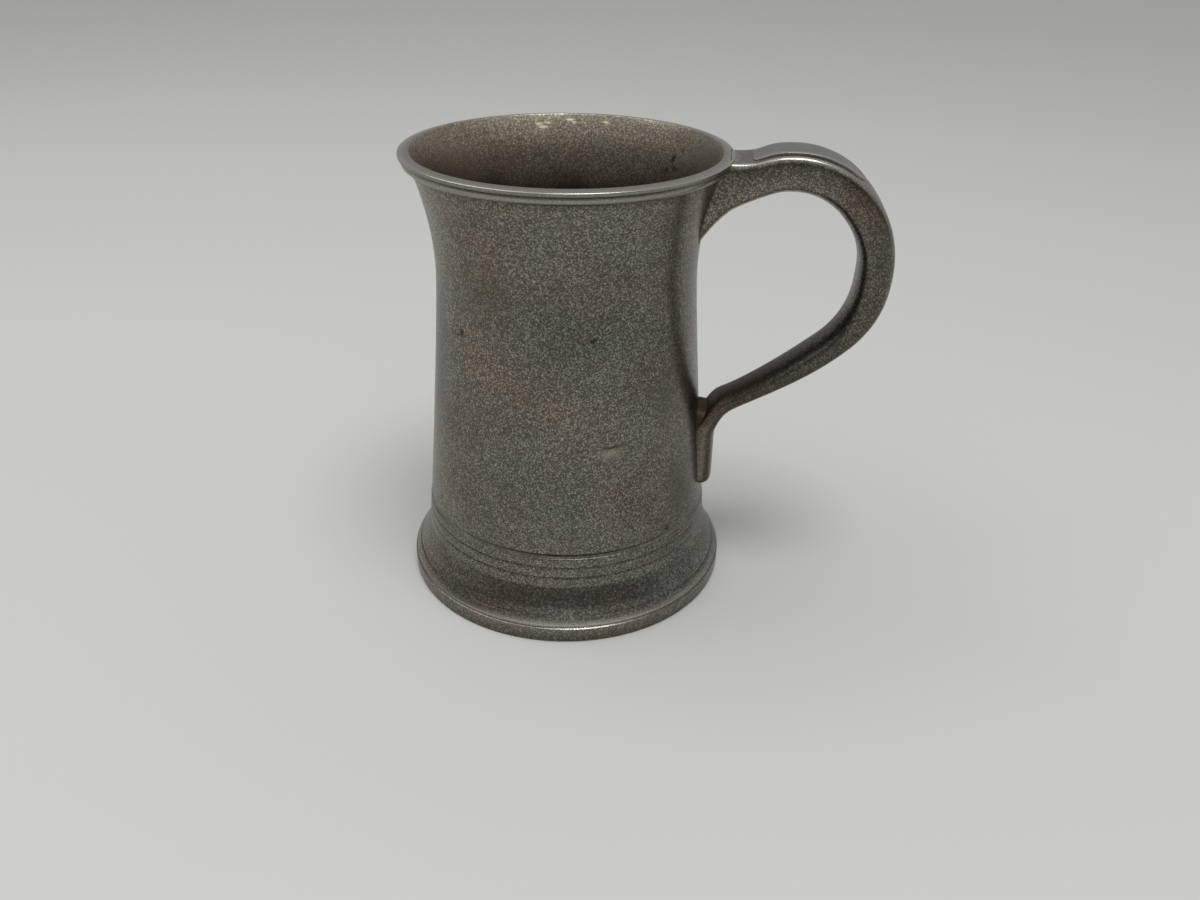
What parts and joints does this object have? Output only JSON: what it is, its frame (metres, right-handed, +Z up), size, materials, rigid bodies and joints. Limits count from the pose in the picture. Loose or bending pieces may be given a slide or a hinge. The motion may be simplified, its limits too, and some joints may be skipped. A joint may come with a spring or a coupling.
{
  "type": "tankard",
  "caption": "Open cast pewter tankard with a waisted drum, turned lip, moulded foot and a soldered loop handle with a thumb plate.",
  "frame": {"origin": "on the drum's axis, in the plane that the tankard stands on", "axes": "+Z up along the drum's axis, +X from the axis towards the handle, +Y to the left of the handle seen from the drum"},
  "size_m": [0.1357, 0.0958, 0.1292],
  "materials": {
    "pewter": "dull cast grey, worn",
    "worn_pewter": "smooth grey, rubbed by the thumb",
    "solder": "dull grey solder"
  },
  "bodies": {
    "root": {"drum": "pewter", "foot": "pewter", "floor_disc": "pewter", "floor_solder": "solder", "foot_solder": "solder", "handle": "pewter", "thumb_plate": "worn_pewter", "root_solder": "solder", "tail_solder": "solder"}
  },
  "joints": []
}
